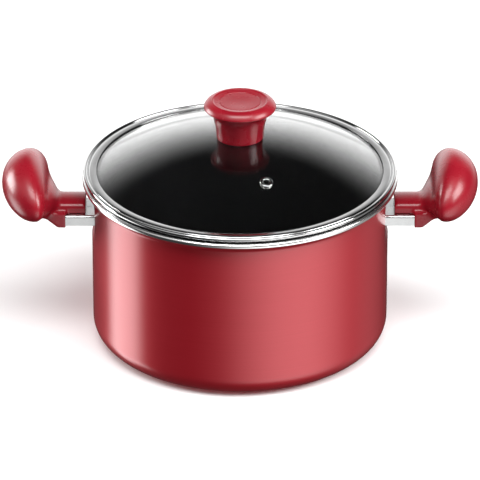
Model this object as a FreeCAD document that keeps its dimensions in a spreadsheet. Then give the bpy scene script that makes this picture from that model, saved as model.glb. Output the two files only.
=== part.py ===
import FreeCAD, Part
import math
import os
import re
import Sketcher

# Household stock pot with a glass lid, in millimetres.
# +Z is up, +X runs through the right handle, the origin is the centre of the base.

VECTOR = FreeCAD.Vector
SPIN_HALF_TURN = FreeCAD.Rotation(VECTOR(0, 0, 1), 180)
NO_TURN = FreeCAD.Rotation()

SIZES = {
    # pot shell
    "wall_radius": 123.0,
    "wall": 3.0,
    "rim_height": 146.0,
    "rim_radius": 130.4,
    "rim_lip": 3.8,
    "rim_edge": 2.4,
    "lip_edge": 0.8,
    "flare_outer": 8.0,
    "flare_inner": 11.0,
    "flare_start": 134.2,
    "base_thick": 5.0,
    "base_corner": 19.0,
    "inner_corner": 12.0,
    # flat pressed in the wall behind each handle bracket
    "pad_distance": 119.9,
    "pad_wide": 54.8,
    "pad_low": 96.0,
    "pad_high": 126.0,
    # steel disc pressed into the base
    "disc_radius": 90.0,
    "disc_thick": 0.8,
    "disc_hole": 2.6,
    "disc_pitch": 17.0,
    # handle bracket, an upside-down channel of sheet steel
    "sheet": 1.5,
    "bracket_top": 115.6,
    "bracket_tall": 8.9,
    "bracket_half": 18.0,
    "flange_end": 149.5,
    "tongue_half": 13.0,
    "bracket_end": 159.0,
    "channel_bend": 1.6,
    "slot_half": 1.1,
    "slot_curve": 1.2,
    "slot_start": 123.5,
    "slot_end": 147.0,
    "rivet_shank": 2.4,
    "rivet_head": 5.0,
    "rivet_dome": 2.0,
    "tail_radius": 2.5,
    "tail_flare": 4.0,
    "tail_shoulder": 1.2,
    "rivet_offset": 9.0,
    "rivet_height": 110.2,
    # handle grip
    "grip_start": 127.7,
    "grip_half": 14.0,
    "grip_rise": 10.8,
    "grip_shoulder": 5.6,
    "grip_corner": 2.2,
    "ear_centre": 175.3,
    "ear_height": 136.4,
    "ear_deep": 21.7,
    "ear_half": 48.0,
    "ear_tall": 24.3,
    "step_start": 144.0,
    "step_half": 19.6,
    "step_low": 105.4,
    "step_flat": 150.0,
    "step_top": 117.4,
    "sleeve_end": 164.3,
    "sleeve_end_low": 117.6,
    "sleeve_end_top": 121.6,
    "fit_gap": 0.15,
    "scoop_deep": 10.0,
    "scoop_half": 27.0,
    "scoop_tall": 20.0,
    "screw_distance": 153.0,
    "screw_radius": 2.0,
    "screw_head": 3.8,
    "head_round": 1.0,
    "tip_gap": 1.0,
    "insert_radius": 3.4,
    "insert_long": 8.2,
    "washer_thick": 1.0,
    "head_thick": 2.8,
    "drive_half": 0.5,
    # lid glass
    "dome_radius": 240.0,
    "dome_top": 181.0,
    "glass": 4.0,
    "glass_edge": 124.1,
    "brim_top": 149.5,
    "brim_low": 145.9,
    "glass_hole": 4.0,
    # lid band
    "band_sheet": 0.6,
    "band_web": 125.4,
    "band_low": 144.8,
    "band_lip": 118.8,
    "bead_centre": 127.7,
    "bead_height": 149.4,
    "bead_round": 1.7,
    "bead_neck": 1.0,
    "lip_rise": 0.2,
    "groove_fall": 0.3,
    "liner": 0.3,
    # steam vent
    "vent_reach": 69.4,
    "vent_turn": -71.9,
    "vent_bore": 2.9,
    "vent_tube": 3.7,
    "vent_flange": 5.6,
    "vent_sheet": 0.7,
    "vent_lift": 0.02,
    # knob and its fastening
    "knob_base": 180.5,
    "knob_top": 213.7,
    "knob_neck": 19.5,
    "knob_waist": 21.9,
    "waist_drop": 16.5,
    "neck_curve": 60.0,
    "knob_flange": 29.8,
    "flange_curve": 10.5,
    "flange_edge": 0.9,
    "flange_drop": 6.4,
    "side_lean": 0.5,
    "side_drop": 4.6,
    "side_curve": 3.5,
    "shoulder_radius": 23.0,
    "shoulder_curve": 6.6,
    "dish_radius": 22.2,
    "dish_deep": 0.9,
    "knob_insert": 4.4,
    "knob_shank": 2.5,
    "knob_head": 4.8,
    "seat_top": 182.4,
    "seat_radius": 16.8,
    "insert_deep": 16.0,
    "gasket_low": 175.0,
    "gasket_radius": 9.5,
    "washer_radius": 8.5,
    # space left round pieces that go inside one another
    "clearance": 0.1,
}

DISC_RINGS = 4
HOLES_PER_RING = 6

document = FreeCAD.newDocument("StockPot")
sheet_object = document.addObject("Spreadsheet::Sheet", "Sizes")
for row, (alias, number) in enumerate(SIZES.items(), start=1):
    sheet_object.set("A%d" % row, alias.replace("_", " "))
    sheet_object.set("B%d" % row, str(number))
    sheet_object.setAlias("B%d" % row, alias)
document.recompute()

sub_parts = []


def bound(formula):
    """The formula with each driving dimension's name pointed at the sheet."""
    return re.sub(r"[a-z]+(?:_[a-z]+)*",
                  lambda found: "Sizes." + found.group(0) if found.group(0) in SIZES else found.group(0),
                  formula)


def value(formula):
    """The formula's number, as the sheet gives it now."""
    return float(sheet_object.evalExpression(formula))


def bind(item, prop, formula):
    item.setExpression(prop, bound(formula))


def label(item, name):
    item.Label = name
    sub_parts.append(item)
    return item


def new_body(name):
    return label(document.addObject("PartDesign::Body", name), name)


def origin_plane(body, role):
    return next(item for item in body.Origin.OriginFeatures if item.Role == role)


def new_sketch(body, name, role, offset=None):
    """An empty sketch on one of the body's own origin planes, moved out along its normal by offset."""
    sketch = body.newObject("Sketcher::SketchObject", name)
    sketch.AttachmentSupport = [(origin_plane(body, role), "")]
    sketch.MapMode = "FlatFace"
    if offset is not None:
        bind(sketch, "AttachmentOffset.Base.z", offset)
    return sketch


def draw_outline(sketch, corners):
    """A closed outline. A corner is (x, y) or, where an arc leads to it, (x, y, radius, bulge).

    x, y and radius are formulas of the driving dimensions. bulge is 1 for an arc whose middle
    lies to the right of the chord as the outline runs, and -1 for one to the left.
    """
    places = [(value(corner[0]), value(corner[1])) for corner in corners]
    first = sketch.GeometryCount
    ends = []
    for index, corner in enumerate(corners):
        begin = VECTOR(*places[index - 1], 0)
        end = VECTOR(*places[index], 0)
        if len(corner) == 2:
            sketch.addGeometry(Part.LineSegment(begin, end), False)
            ends.append((1, 2))
            continue
        chord = end - begin
        radius = value(corner[2])
        sag = radius - math.sqrt(max(radius ** 2 - (chord.Length / 2) ** 2, 0))
        side = VECTOR(chord.y, -chord.x, 0).normalize() * corner[3]
        middle = (begin + end) * 0.5 + side * sag
        # an arc in a sketch always runs anticlockwise, so a hollow one is drawn from its far end
        hollow = corner[3] < 0
        sketch.addGeometry(Part.Arc(end if hollow else begin, middle, begin if hollow else end), False)
        ends.append((2, 1) if hollow else (1, 2))
    for index, corner in enumerate(corners):
        after = (index + 1) % len(corners)
        sketch.addConstraint(Sketcher.Constraint(
            "Coincident", first + index, ends[index][1], first + after, ends[after][0]))
    for index, corner in enumerate(corners):
        for kind, formula, place in (("DistanceX", corner[0], places[index][0]),
                                     ("DistanceY", corner[1], places[index][1])):
            added = sketch.addConstraint(Sketcher.Constraint(
                kind, -1, 1, first + index, ends[index][1], place))
            bind(sketch, "Constraints[%d]" % added, formula)
        if len(corner) == 4:
            added = sketch.addConstraint(Sketcher.Constraint("Radius", first + index, value(corner[2])))
            bind(sketch, "Constraints[%d]" % added, corner[2])


def draw_circle(sketch, across, along, radius):
    """A circle whose centre and radius are formulas."""
    added = sketch.addGeometry(
        Part.Circle(VECTOR(value(across), value(along), 0), VECTOR(0, 0, 1), value(radius)), False)
    for kind, formula in (("DistanceX", across), ("DistanceY", along)):
        if value(formula) == 0:
            sketch.addConstraint(Sketcher.Constraint(
                "PointOnObject", added, 3, -2 if kind == "DistanceX" else -1))
            continue
        number = sketch.addConstraint(Sketcher.Constraint(kind, -1, 1, added, 3, value(formula)))
        bind(sketch, "Constraints[%d]" % number, formula)
    number = sketch.addConstraint(Sketcher.Constraint("Radius", added, value(radius)))
    bind(sketch, "Constraints[%d]" % number, radius)


def turn_about(body, name, sketch, axis):
    """Turns a sketch once round one of its own axes."""
    turn = body.newObject("PartDesign::Revolution", name)
    turn.Profile = sketch
    turn.ReferenceAxis = (sketch, [axis])
    turn.Angle = 360
    document.recompute()
    return turn


def revolve(body, name, corners):
    """Turns an outline of (radius, height) corners about the Z axis."""
    sketch = new_sketch(body, name + "_outline", "XZ_Plane")
    draw_outline(sketch, corners)
    turn_about(body, name, sketch, "V_Axis")


def pad(body, name, sketch, length):
    """Adds a sketch pushed along its normal by a length formula."""
    push = body.newObject("PartDesign::Pad", name)
    push.Profile = sketch
    bind(push, "Length", length)
    document.recompute()
    return push


def must_cut(body, feature, before):
    """Stops if a cut took nothing away."""
    assert feature.Shape.Volume < before - 1e-3, feature.Name + " cut nothing from " + body.Name


def pocket(body, name, sketch, length):
    """Takes away a sketch pushed along its normal by a length formula."""
    before = body.Shape.Volume
    push = body.newObject("PartDesign::Pocket", name)
    push.Profile = sketch
    push.Reversed = True
    bind(push, "Length", length)
    document.recompute()
    must_cut(body, push, before)
    return push


def mirrored(body, name, originals, role="YZ_Plane"):
    """Repeats features on the other side of an origin plane."""
    mirror = body.newObject("PartDesign::Mirrored", name)
    mirror.Originals = originals
    mirror.MirrorPlane = (origin_plane(body, role), [""])
    body.Tip = mirror
    document.recompute()
    return mirror


def around_z(body, name, originals, count):
    """Repeats features evenly about the Z axis."""
    ring = body.newObject("PartDesign::PolarPattern", name)
    ring.Originals = originals
    ring.Axis = (next(item for item in body.Origin.OriginFeatures if item.Role == "Z_Axis"), [""])
    ring.Angle = 360
    ring.Occurrences = count
    body.Tip = ring
    document.recompute()
    return ring


def rectangle(left, low, right, high):
    """Corners of an upright rectangle, from formulas."""
    return [(left, low), (right, low), (right, high), (left, high)]


def turn_to_side(item, side):
    """Places a sub-part that was drawn for the right handle on its own side."""
    item.Placement = FreeCAD.Placement(VECTOR(), NO_TURN if side == "right" else SPIN_HALF_TURN)


# Formulas that several pieces share.
BRACKET_LOW = "bracket_top - bracket_tall"
WEB_LOW = "bracket_top - sheet"
GRIP_LOW = "bracket_top + fit_gap"
WASHER_LOW = WEB_LOW + " - washer_thick"
INSERT_TOP = "bracket_top + insert_long"
INNER_DOME = "(dome_radius - glass)"


def dome_height(radius, reach):
    """Height of a sphere about the dome's centre, at a distance from the Z axis."""
    return "dome_top - dome_radius + sqrt((%s) ^ 2 - (%s) ^ 2)" % (radius, reach)


def dome_reach(radius, height):
    """Distance from the Z axis at which that sphere has a height."""
    return "sqrt((%s) ^ 2 - (%s - dome_top + dome_radius) ^ 2)" % (radius, height)


def cross(long_half, short_half):
    """Corners of the recess for a cross-head driver."""
    long_low, short_low = "-" + long_half, "-" + short_half
    return [(short_low, long_low), (short_half, long_low), (short_half, short_low), (long_half, short_low),
            (long_half, short_half), (short_half, short_half), (short_half, long_half),
            (short_low, long_half), (short_low, short_half), (long_low, short_half),
            (long_low, short_low), (short_low, short_low)]


def channel(grow):
    """The bracket's section, an upside-down U, with every face moved outwards by grow."""
    outer, inner = "(bracket_half + %s)" % grow, "(bracket_half - sheet - %s)" % grow
    top, low, web = ("bracket_top + " + grow, BRACKET_LOW + " - " + grow, WEB_LOW + " - " + grow)
    return [
        ("-" + outer, low),
        ("-" + inner, low),
        ("-" + inner, web),
        (inner, web),
        (inner, low),
        (outer, low),
        (outer, top + " - channel_bend"),
        (outer + " - channel_bend", top, "channel_bend", 1),
        ("-" + outer + " + channel_bend", top),
        ("-" + outer, top + " - channel_bend", "channel_bend", 1),
    ]


def tongue(grow):
    """The section of the bracket's flat end, with every face moved outwards by grow."""
    half = "(tongue_half + %s)" % grow
    return rectangle("-" + half, WEB_LOW + " - " + grow, half, "bracket_top + " + grow)


def drill_rivet_holes(body, start, depth):
    """Two holes along X for the rivets, from a plane outwards."""
    sketch = new_sketch(body, "rivet_hole_outline", "YZ_Plane", start)
    for place in ("-rivet_offset", "rivet_offset"):
        draw_circle(sketch, place, "rivet_height", "rivet_shank + clearance")
    return pocket(body, "rivet_holes", sketch, depth)


# Pot shell: thick flat base, straight wall, flared rim and a flat behind each bracket.
def build_pot_body():
    body = new_body("pot_body")
    revolve(body, "shell", [
        ("0", "0"),
        ("wall_radius - base_corner", "0"),
        ("wall_radius", "base_corner", "base_corner", 1),
        ("wall_radius", "flare_start"),
        ("rim_radius - lip_edge", "rim_height - rim_lip", "flare_outer", -1),
        ("rim_radius", "rim_height - rim_lip + lip_edge", "lip_edge", 1),
        ("rim_radius", "rim_height - rim_edge"),
        ("rim_radius - rim_edge", "rim_height", "rim_edge", 1),
        ("wall_radius - wall", "rim_height - flare_inner", "flare_inner", 1),
        ("wall_radius - wall", "base_thick + inner_corner"),
        ("wall_radius - wall - inner_corner", "base_thick", "inner_corner", -1),
        ("0", "base_thick"),
    ])
    flat = rectangle("-pad_wide / 2", "pad_low", "pad_wide / 2", "pad_high")
    boss_sketch = new_sketch(body, "boss_outline", "YZ_Plane", "pad_distance - wall")
    draw_outline(boss_sketch, flat)
    boss = pad(body, "boss", boss_sketch, "wall")
    flat_sketch = new_sketch(body, "flat_outline", "YZ_Plane", "pad_distance")
    draw_outline(flat_sketch, flat)
    pressed_flat = pocket(body, "pressed_flat", flat_sketch, "2 * wall")
    rivet_holes = drill_rivet_holes(body, "pad_distance - 2 * wall", "3 * wall")
    mirrored(body, "second_side", [boss, pressed_flat, rivet_holes])
    recess_sketch = new_sketch(body, "recess_outline", "XY_Plane")
    draw_circle(recess_sketch, "0", "0", "disc_radius + clearance")
    pocket(body, "recess", recess_sketch, "disc_thick")


# Perforated steel disc that lies flush in the pot's base.
def build_base_disc():
    body = new_body("base_disc")
    sketch = new_sketch(body, "disc_outline", "XY_Plane")
    draw_circle(sketch, "0", "0", "disc_radius")
    pad(body, "disc", sketch, "disc_thick")
    for ring in range(1, DISC_RINGS + 1):
        hole_sketch = new_sketch(body, "hole_outline_%d" % ring, "XY_Plane")
        draw_circle(hole_sketch, "%d * disc_pitch" % ring, "0", "disc_hole")
        hole = pocket(body, "hole_%d" % ring, hole_sketch, "disc_thick")
        around_z(body, "hole_ring_%d" % ring, [hole], ring * HOLES_PER_RING)


# Sheet-steel channel, open below, with an end plate against the wall and a flat tongue in the grip.
def build_bracket(side):
    body = new_body("handle_bracket_" + side)
    channel_sketch = new_sketch(body, "channel_outline", "YZ_Plane", "pad_distance")
    draw_outline(channel_sketch, channel("0"))
    pad(body, "channel", channel_sketch, "flange_end - pad_distance")
    tongue_sketch = new_sketch(body, "tongue_outline", "YZ_Plane", "flange_end - sheet")
    draw_outline(tongue_sketch, tongue("0"))
    pad(body, "tongue", tongue_sketch, "bracket_end - flange_end + sheet")
    plate_sketch = new_sketch(body, "end_plate_outline", "YZ_Plane", "pad_distance")
    draw_outline(plate_sketch, rectangle(
        "-bracket_half + sheet / 2", BRACKET_LOW, "bracket_half - sheet / 2", "bracket_top - sheet / 2"))
    pad(body, "end_plate", plate_sketch, "sheet")
    slot_sketch = new_sketch(body, "slot_outline", "XY_Plane", WEB_LOW + " - sheet")
    draw_outline(slot_sketch, [
        ("slot_start", "-slot_half", "slot_curve", 1),
        ("slot_end", "-slot_half"),
        ("slot_end", "slot_half", "slot_curve", 1),
        ("slot_start", "slot_half"),
    ])
    pocket(body, "slot", slot_sketch, "3 * sheet")
    drill_rivet_holes(body, "pad_distance - sheet", "3 * sheet")
    screw_sketch = new_sketch(body, "screw_hole_outline", "XY_Plane", WEB_LOW + " - sheet")
    draw_circle(screw_sketch, "screw_distance", "0", "screw_radius + 4 * clearance")
    pocket(body, "screw_hole", screw_sketch, "3 * sheet")
    turn_to_side(body, side)


# Pair of solid rivets that hold a bracket to the wall, with domed heads inside the pot.
def build_rivets(side):
    body = new_body("handle_rivets_" + side)
    body.AllowCompound = True
    dome_curve = "(rivet_head ^ 2 + rivet_dome ^ 2) / (2 * rivet_dome)"
    inner_face = "pad_distance - wall"
    outer_face = "pad_distance + sheet"
    tail_end = outer_face + " + rivet_dome"
    sketch = new_sketch(body, "rivet_outline", "XY_Plane", "rivet_height")
    bind(sketch, "AttachmentOffset.Base.y", "rivet_offset")
    draw_outline(sketch, [
        (inner_face + " - rivet_dome", "0", dome_curve, 1),
        (tail_end, "0"),
        (outer_face + " + tail_shoulder", "tail_radius"),
        (outer_face, "tail_flare"),
        (outer_face, "rivet_shank"),
        (inner_face, "rivet_shank"),
        (inner_face, "rivet_head"),
    ])
    rivet = turn_about(body, "rivet", sketch, "H_Axis")
    mirrored(body, "second_rivet", [rivet], "XZ_Plane")
    turn_to_side(body, side)


# Moulded grip: shank on the bracket, sleeve round its end, and an upright rounded ear.
def build_grip(side):
    body = new_body("handle_grip_" + side)
    shank_sketch = new_sketch(body, "shank_outline", "YZ_Plane", "grip_start")
    crown_half = "(grip_half - grip_corner)"
    crown_sag = "(grip_rise - grip_shoulder - grip_corner)"
    crown_curve = "(%s ^ 2 + %s ^ 2) / (2 * %s)" % (crown_half, crown_sag, crown_sag)
    shoulder = GRIP_LOW + " + grip_shoulder"
    draw_outline(shank_sketch, [
        ("-grip_half", GRIP_LOW),
        ("grip_half", GRIP_LOW),
        ("grip_half", shoulder),
        (crown_half, shoulder + " + grip_corner", "grip_corner", 1),
        ("-" + crown_half, shoulder + " + grip_corner", crown_curve, 1),
        ("-grip_half", shoulder, "grip_corner", 1),
    ])
    pad(body, "shank", shank_sketch, "ear_centre - grip_start")
    sleeve_sketch = new_sketch(body, "sleeve_outline", "XZ_Plane", "-step_half")
    draw_outline(sleeve_sketch, [
        ("step_start", "step_low"),
        ("step_flat", "step_low"),
        ("sleeve_end", "sleeve_end_low"),
        ("sleeve_end", "sleeve_end_top"),
        ("step_start", "step_top"),
    ])
    pad(body, "sleeve", sleeve_sketch, "2 * step_half")
    ear = body.newObject("PartDesign::AdditiveEllipsoid", "ear")
    bind(ear, "Radius1", "ear_tall")
    bind(ear, "Radius2", "ear_deep")
    bind(ear, "Radius3", "ear_half")
    bind(ear, "AttachmentOffset.Base.x", "ear_centre")
    bind(ear, "AttachmentOffset.Base.z", "ear_height")
    ear.AttachmentSupport = [(origin_plane(body, "XY_Plane"), "")]
    ear.MapMode = "FlatFace"
    document.recompute()
    scoop = body.newObject("PartDesign::SubtractiveEllipsoid", "scoop")
    bind(scoop, "Radius1", "scoop_tall")
    bind(scoop, "Radius2", "scoop_deep")
    bind(scoop, "Radius3", "scoop_half")
    bind(scoop, "AttachmentOffset.Base.x", "ear_centre")
    bind(scoop, "AttachmentOffset.Base.z", "ear_height - ear_tall")
    scoop.AttachmentSupport = [(origin_plane(body, "XY_Plane"), "")]
    scoop.MapMode = "FlatFace"
    document.recompute()
    must_cut(body, scoop, ear.Shape.Volume)
    seat_sketch = new_sketch(body, "bracket_seat_outline", "YZ_Plane", "step_start - sheet")
    draw_outline(seat_sketch, channel("fit_gap"))
    pocket(body, "bracket_seat", seat_sketch, "flange_end - step_start + sheet + fit_gap")
    tongue_sketch = new_sketch(body, "tongue_seat_outline", "YZ_Plane", "step_start")
    draw_outline(tongue_sketch, tongue("fit_gap"))
    pocket(body, "tongue_seat", tongue_sketch, "bracket_end - step_start + fit_gap")
    insert_sketch = new_sketch(body, "insert_hole_outline", "XY_Plane", WEB_LOW)
    draw_circle(insert_sketch, "screw_distance", "0", "insert_radius + clearance")
    pocket(body, "insert_hole", insert_sketch, INSERT_TOP + " + clearance - (" + WEB_LOW + ")")
    access_sketch = new_sketch(body, "access_hole_outline", "XY_Plane", "step_low - sheet")
    draw_circle(access_sketch, "screw_distance", "0", "screw_head + 4 * clearance")
    pocket(body, "access_hole", access_sketch, WEB_LOW + " - step_low + sheet")
    turn_to_side(body, side)


def stand_on_screw_line(body, side):
    """Moves a round piece drawn about Z to the middle of the handle's screw."""
    sign = "" if side == "right" else "-"
    bind(body, "Placement.Base.x", sign + "screw_distance")


# Pan-head screw that pulls the grip down on the bracket.
def build_handle_screw(side):
    body = new_body("handle_screw_" + side)
    head_low = WASHER_LOW + " - head_thick"
    revolve(body, "screw", [
        ("0", head_low),
        ("screw_head - head_round", head_low),
        ("screw_head", head_low + " + head_round", "head_round", 1),
        ("screw_head", WASHER_LOW),
        ("screw_radius", WASHER_LOW),
        ("screw_radius", INSERT_TOP + " - tip_gap"),
        ("0", INSERT_TOP + " - tip_gap"),
    ])
    drive = new_sketch(body, "drive_outline", "XY_Plane", head_low)
    draw_outline(drive, cross("screw_radius", "drive_half"))
    pocket(body, "drive", drive, "head_thick / 2")
    stand_on_screw_line(body, side)


# Flat washer between the screw's head and the bracket.
def build_handle_washer(side):
    body = new_body("handle_washer_" + side)
    revolve(body, "washer", rectangle(
        "screw_radius + clearance", WASHER_LOW, "screw_head + 2 * clearance", WEB_LOW))
    stand_on_screw_line(body, side)


# Brass insert moulded into the grip.
def build_handle_insert(side):
    body = new_body("handle_insert_" + side)
    revolve(body, "insert", rectangle(
        "screw_radius + clearance", GRIP_LOW + " + clearance", "insert_radius", INSERT_TOP))
    stand_on_screw_line(body, side)


# Toughened glass: a shallow dome with a flat brim, a hole for the knob and one for the vent.
def build_lid_glass():
    body = new_body("lid_glass")
    revolve(body, "dome", [
        ("glass_hole", dome_height(INNER_DOME, "glass_hole")),
        (dome_reach(INNER_DOME, "brim_low"), "brim_low", INNER_DOME, -1),
        ("glass_edge", "brim_low"),
        ("glass_edge", "brim_top"),
        (dome_reach("dome_radius", "brim_top"), "brim_top"),
        ("glass_hole", dome_height("dome_radius", "glass_hole"), "dome_radius", 1),
    ])
    before = body.Shape.Volume
    drill = body.newObject("PartDesign::SubtractiveCylinder", "vent_hole")
    drill.AttachmentSupport = [(origin_plane(body, "XY_Plane"), "")]
    drill.MapMode = "FlatFace"
    drill.AttachmentOffset = vent_place(-2 * value("glass"))
    bind(drill, "Radius", "vent_tube + clearance")
    bind(drill, "Height", "4 * glass")
    document.recompute()
    must_cut(body, drill, before)


def vent_place(lift):
    """The vent's place on the dome, square to the glass and lifted along its own axis."""
    lean = math.degrees(math.asin(value("vent_reach / dome_radius")))
    turn = FreeCAD.Rotation(VECTOR(0, 0, 1), value("vent_turn"))
    tip = FreeCAD.Rotation(VECTOR(0, 1, 0), lean)
    rotation = turn.multiply(tip)
    centre = VECTOR(0, 0, value("dome_top - dome_radius"))
    return FreeCAD.Placement(centre + rotation.multVec(VECTOR(0, 0, value("dome_radius") + lift)), rotation)


# Rolled steel band round the glass: a lip above, a web, a ledge below and a bead outside.
def build_lid_band():
    body = new_body("lid_band")
    neck_reach = "bead_centre - sqrt(bead_round ^ 2 - bead_neck ^ 2)"
    inner_web = "band_web - band_sheet - clearance"
    lip_low = "brim_top + 2 * clearance + liner"
    revolve(body, "band", [
        ("band_lip + band_sheet", "band_low"),
        ("band_web - band_sheet", "band_low"),
        ("band_web", "band_low + band_sheet", "band_sheet", 1),
        ("band_web", "bead_height - bead_neck"),
        (neck_reach, "bead_height - bead_neck"),
        ("bead_centre", "bead_height - bead_round", "bead_round", 1),
        ("bead_centre + bead_round", "bead_height", "bead_round", 1),
        ("bead_centre", "bead_height + bead_round", "bead_round", 1),
        (neck_reach, "bead_height + bead_neck", "bead_round", 1),
        ("band_web", "bead_height + bead_neck - groove_fall"),
        ("band_web - band_sheet", lip_low + " + band_sheet"),
        ("band_lip + band_sheet / 2", lip_low + " + band_sheet + lip_rise"),
        ("band_lip", lip_low + " + band_sheet / 2", "band_sheet / 2", 1),
        ("band_lip", lip_low),
        (inner_web, lip_low),
        (inner_web, "band_low + band_sheet"),
        ("band_lip + band_sheet", "band_low + band_sheet"),
    ])


# Soft liner that keeps the band's steel off the glass.
def build_band_liner():
    body = new_body("band_liner")
    outer = "glass_edge + clearance + liner"
    inner = "glass_edge + clearance"
    top, low = "brim_top + clearance", "brim_low - clearance"
    lip = "band_lip + 2 * band_sheet"
    revolve(body, "liner", [
        (lip, low + " - liner"),
        (outer, low + " - liner"),
        (outer, top + " + liner"),
        (lip, top + " + liner"),
        (lip, top),
        (inner, top),
        (inner, low),
        (lip, low),
    ])


# Steel eyelet that lines the steam hole in the glass.
def build_vent_eyelet():
    body = new_body("vent_eyelet")
    revolve(body, "eyelet", [
        ("vent_bore", "-glass - clearance - vent_sheet"),
        ("vent_flange - vent_sheet / 2", "-glass - clearance - vent_sheet"),
        ("vent_flange - vent_sheet / 2", "-glass - clearance"),
        ("vent_tube", "-glass - clearance"),
        ("vent_tube", "vent_lift"),
        ("vent_flange", "vent_lift"),
        ("vent_flange - vent_sheet", "vent_lift + vent_sheet", "vent_sheet", 1),
        ("vent_bore + vent_sheet", "vent_lift + vent_sheet"),
        ("vent_bore", "vent_lift", "vent_sheet", 1),
    ])
    body.Placement = vent_place(0)


# Moulded knob: flared neck under a wide flange with a shallow dished top.
def build_knob():
    body = new_body("knob")
    socket = "knob_insert + clearance"
    socket_top = "knob_base + insert_deep"
    revolve(body, "knob_shape", [
        (socket, "seat_top"),
        ("seat_radius + clearance", "seat_top"),
        ("seat_radius + clearance", "knob_base"),
        ("knob_neck", "knob_base"),
        ("knob_waist", "knob_top - waist_drop", "neck_curve", -1),
        ("knob_flange - flange_edge", "knob_top - flange_drop - flange_edge", "flange_curve", -1),
        ("knob_flange", "knob_top - flange_drop", "flange_edge", 1),
        ("knob_flange - side_lean", "knob_top - side_drop", "side_curve", 1),
        ("shoulder_radius", "knob_top", "shoulder_curve", 1),
        ("dish_radius", "knob_top"),
        ("dish_radius - dish_deep", "knob_top - dish_deep"),
        ("0", "knob_top - dish_deep"),
        ("0", socket_top),
        (socket, socket_top),
    ])


# Brass insert moulded into the knob.
def build_knob_insert():
    body = new_body("knob_insert")
    insert_top = "knob_base + insert_deep - clearance"
    revolve(body, "insert", rectangle(
        "knob_shank + clearance", "seat_top + clearance", "knob_insert", insert_top))


# Soft washer between the knob and the top of the glass.
def build_knob_seat():
    body = new_body("knob_seat")
    bore = "knob_shank + clearance"
    top_of_glass = "(dome_radius + clearance)"
    revolve(body, "seat", [
        (bore, dome_height(top_of_glass, bore)),
        ("seat_radius", dome_height(top_of_glass, "seat_radius"), top_of_glass, -1),
        ("seat_radius", "seat_top"),
        (bore, "seat_top"),
    ])


# Soft flanged bush below the glass, with a collar that fills the hole round the screw.
def build_knob_gasket():
    body = new_body("knob_gasket")
    bore = "knob_shank + clearance"
    collar = "glass_hole - clearance"
    under_glass = "(dome_radius - glass - clearance)"
    revolve(body, "gasket", [
        (bore, "gasket_low"),
        ("gasket_radius", "gasket_low"),
        ("gasket_radius", dome_height(under_glass, "gasket_radius")),
        (collar, dome_height(under_glass, collar), under_glass, 1),
        (collar, "dome_top - clearance"),
        (bore, "dome_top - clearance"),
    ])


# Steel washer below the soft bush.
def build_knob_washer():
    body = new_body("knob_washer")
    revolve(body, "washer", rectangle(
        "knob_shank + clearance", "gasket_low - washer_thick", "washer_radius", "gasket_low"))


# Pan-head screw up through the glass into the knob.
def build_knob_screw():
    body = new_body("knob_screw")
    seat = "gasket_low - washer_thick"
    head_low = seat + " - head_thick"
    revolve(body, "screw", [
        ("0", head_low),
        ("knob_head - head_round", head_low),
        ("knob_head", head_low + " + head_round", "head_round", 1),
        ("knob_head", seat),
        ("knob_shank", seat),
        ("knob_shank", "knob_base + insert_deep - tip_gap"),
        ("0", "knob_base + insert_deep - tip_gap"),
    ])
    drive = new_sketch(body, "drive_outline", "XY_Plane", head_low)
    draw_outline(drive, cross("knob_shank", "drive_half"))
    pocket(body, "drive", drive, "head_thick / 2")


def check_document():
    """Stops if any object failed, or if a sub-part has no sound shape."""
    for item in document.Objects:
        assert not {"Invalid", "Error"} & set(item.State), item.Name + " failed"
    for item in sub_parts:
        assert not item.Shape.isNull() and item.Shape.isValid(), item.Label + " has no valid shape"


build_pot_body()
build_base_disc()
for handle_side in ("left", "right"):
    build_bracket(handle_side)
    build_rivets(handle_side)
    build_grip(handle_side)
    build_handle_screw(handle_side)
    build_handle_washer(handle_side)
    build_handle_insert(handle_side)
build_lid_glass()
build_lid_band()
build_band_liner()
build_vent_eyelet()
build_knob()
build_knob_insert()
build_knob_seat()
build_knob_gasket()
build_knob_washer()
build_knob_screw()

document.recompute()
check_document()
os.makedirs("parts", exist_ok=True)
for sub_part in sub_parts:
    sub_part.Shape.exportStep("parts/%s.step" % sub_part.Label)
    box = sub_part.Shape.BoundBox
    print("%-24s solids %d  volume %9.1f  z %.2f to %.2f  x %.2f to %.2f" % (
        sub_part.Label, len(sub_part.Shape.Solids), sub_part.Shape.Volume,
        box.ZMin, box.ZMax, box.XMin, box.XMax))
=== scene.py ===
import math

import bpy
import numpy as np
from mathutils import Matrix, Vector


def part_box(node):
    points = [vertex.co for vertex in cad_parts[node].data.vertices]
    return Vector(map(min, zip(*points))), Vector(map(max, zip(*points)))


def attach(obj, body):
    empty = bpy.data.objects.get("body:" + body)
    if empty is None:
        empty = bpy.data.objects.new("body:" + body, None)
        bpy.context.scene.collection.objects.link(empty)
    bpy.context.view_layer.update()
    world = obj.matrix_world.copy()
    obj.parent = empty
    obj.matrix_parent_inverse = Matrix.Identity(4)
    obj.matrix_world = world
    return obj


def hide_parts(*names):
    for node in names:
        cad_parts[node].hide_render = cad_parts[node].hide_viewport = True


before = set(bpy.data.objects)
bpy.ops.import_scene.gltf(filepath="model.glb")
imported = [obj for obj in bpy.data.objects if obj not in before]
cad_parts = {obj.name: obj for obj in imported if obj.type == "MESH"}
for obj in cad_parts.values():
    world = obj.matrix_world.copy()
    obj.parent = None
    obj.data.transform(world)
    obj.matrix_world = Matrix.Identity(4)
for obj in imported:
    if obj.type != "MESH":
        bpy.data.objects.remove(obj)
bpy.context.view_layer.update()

# Shapes below are drawn in millimetres and made in metres.
MM = 0.001
RIGHT, LEFT = 1, -1
SIDES = {"right": RIGHT, "left": LEFT}


def low(node):
    """Lowest corner of a CAD node, in millimetres."""
    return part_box(node)[0] / MM


def high(node):
    """Highest corner of a CAD node, in millimetres."""
    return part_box(node)[1] / MM


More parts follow.
